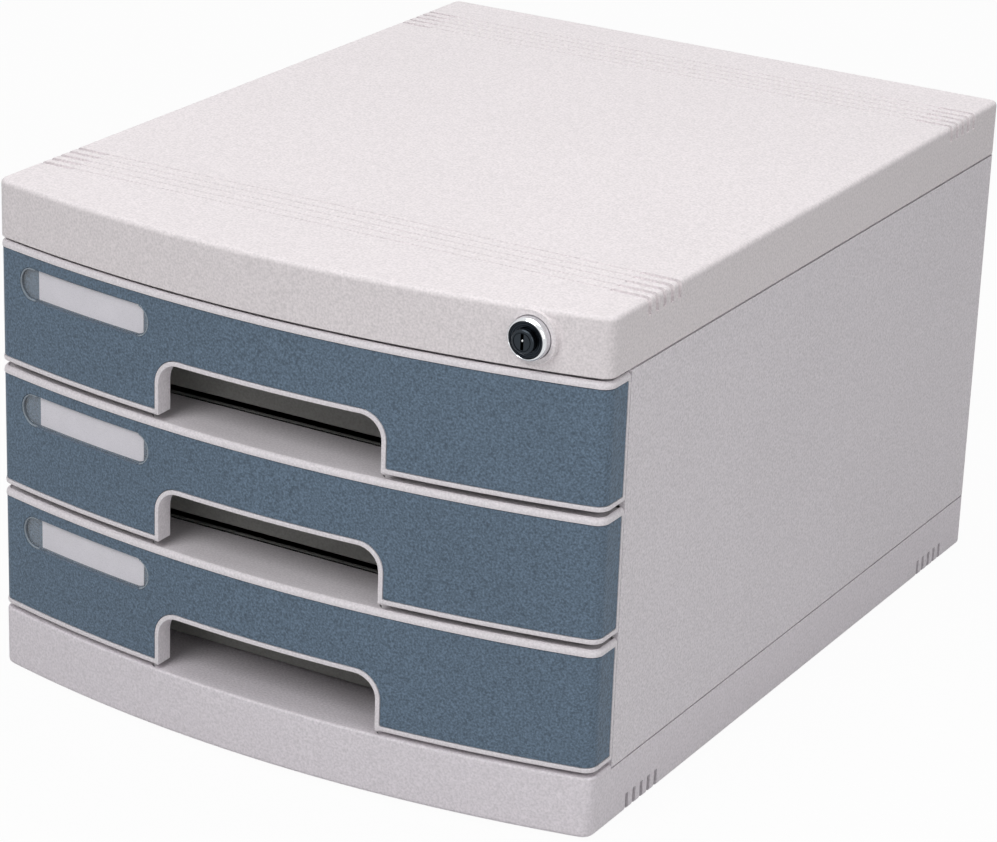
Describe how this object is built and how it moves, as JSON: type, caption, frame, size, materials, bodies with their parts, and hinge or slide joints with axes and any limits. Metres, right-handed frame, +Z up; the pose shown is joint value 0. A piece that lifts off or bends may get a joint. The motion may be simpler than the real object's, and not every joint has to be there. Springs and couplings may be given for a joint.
{
  "type": "desktop file drawer",
  "caption": "Desktop file drawer unit: bowed plastic cabinet with stacked sliding A4 drawers, slate blue fronts, finger cutouts, label windows and a cam lock.",
  "frame": {"origin": "on the desk under the middle of the cabinet's bounding box", "axes": "+X to the right, +Y to the back, +Z up; the drawers pull out along -Y"},
  "size_m": [0.3, 0.395, 0.2285],
  "materials": {
    "cover_plastic": "fine matt grain, warm light grey",
    "base_plastic": "fine matt grain, light grey",
    "panel_plastic": "fine matt grain, light grey",
    "back_plastic": "matt, light grey",
    "foot_rubber": "soft black rubber",
    "screw_steel": "zinc plated",
    "tray_plastic": "matt, warm dark grey",
    "frame_plastic": "fine matt grain, off-white",
    "fascia_plastic": "fine matt grain, slate blue",
    "label_lens": "clear polished",
    "label_paper": "plain uncoated",
    "lock_chrome": "bright chrome",
    "lock_dark": "dark satin nickel",
    "bar_steel": "zinc plated sheet"
  },
  "bodies": {
    "cabinet": {"top_cover": "cover_plastic", "base": "base_plastic", "left_side_panel": "panel_plastic", "right_side_panel": "panel_plastic", "back_panel": "back_plastic", "rubber_feet": "foot_rubber", "cover_screws": "screw_steel", "base_screws": "screw_steel", "lock_housing": "lock_chrome", "lock_nut": "screw_steel"},
    "drawer_1": {"drawer_1_tray": "tray_plastic", "drawer_1_front_frame": "frame_plastic", "drawer_1_fascia": "fascia_plastic", "drawer_1_label_window": "label_lens", "drawer_1_label_card": "label_paper", "drawer_1_front_screws": "screw_steel", "drawer_1_stop_clips": "tray_plastic", "drawer_1_lock_keeper": "tray_plastic"},
    "drawer_2": {"drawer_2_tray": "tray_plastic", "drawer_2_front_frame": "frame_plastic", "drawer_2_fascia": "fascia_plastic", "drawer_2_label_window": "label_lens", "drawer_2_label_card": "label_paper", "drawer_2_front_screws": "screw_steel", "drawer_2_stop_clips": "tray_plastic", "drawer_2_lock_keeper": "tray_plastic"},
    "drawer_3": {"drawer_3_tray": "tray_plastic", "drawer_3_front_frame": "frame_plastic", "drawer_3_fascia": "fascia_plastic", "drawer_3_label_window": "label_lens", "drawer_3_label_card": "label_paper", "drawer_3_front_screws": "screw_steel", "drawer_3_stop_clips": "tray_plastic", "drawer_3_lock_keeper": "tray_plastic"},
    "lock_cylinder": {"lock_plug": "lock_dark", "lock_cam": "bar_steel", "lock_cam_screw": "screw_steel"},
    "locking_bar": {"locking_bar": "bar_steel", "locking_bar_hooks": "bar_steel"}
  },
  "joints": [
    {"name": "drawer_1_slide", "type": "slide", "parent": "cabinet", "child": "drawer_1", "axis": [0, -1, 0], "range_m": [0, 0.28]},
    {"name": "drawer_2_slide", "type": "slide", "parent": "cabinet", "child": "drawer_2", "axis": [0, -1, 0], "range_m": [0, 0.28]},
    {"name": "drawer_3_slide", "type": "slide", "parent": "cabinet", "child": "drawer_3", "axis": [0, -1, 0], "range_m": [0, 0.28]},
    {"name": "lock_turn", "type": "hinge", "parent": "cabinet", "child": "lock_cylinder", "pos_m": [0.1174, -0.1795, 0.216], "axis": [0, 1, 0], "range_deg": [0, 90]},
    {"name": "locking_bar_slide", "type": "slide", "parent": "cabinet", "child": "locking_bar", "axis": [0, 0, 1], "range_m": [-0.0099, 0]}
  ],
  "couplings": [
    {"joint": "lock_turn", "follows": "locking_bar_slide", "rad_per_m": -158.6}
  ]
}
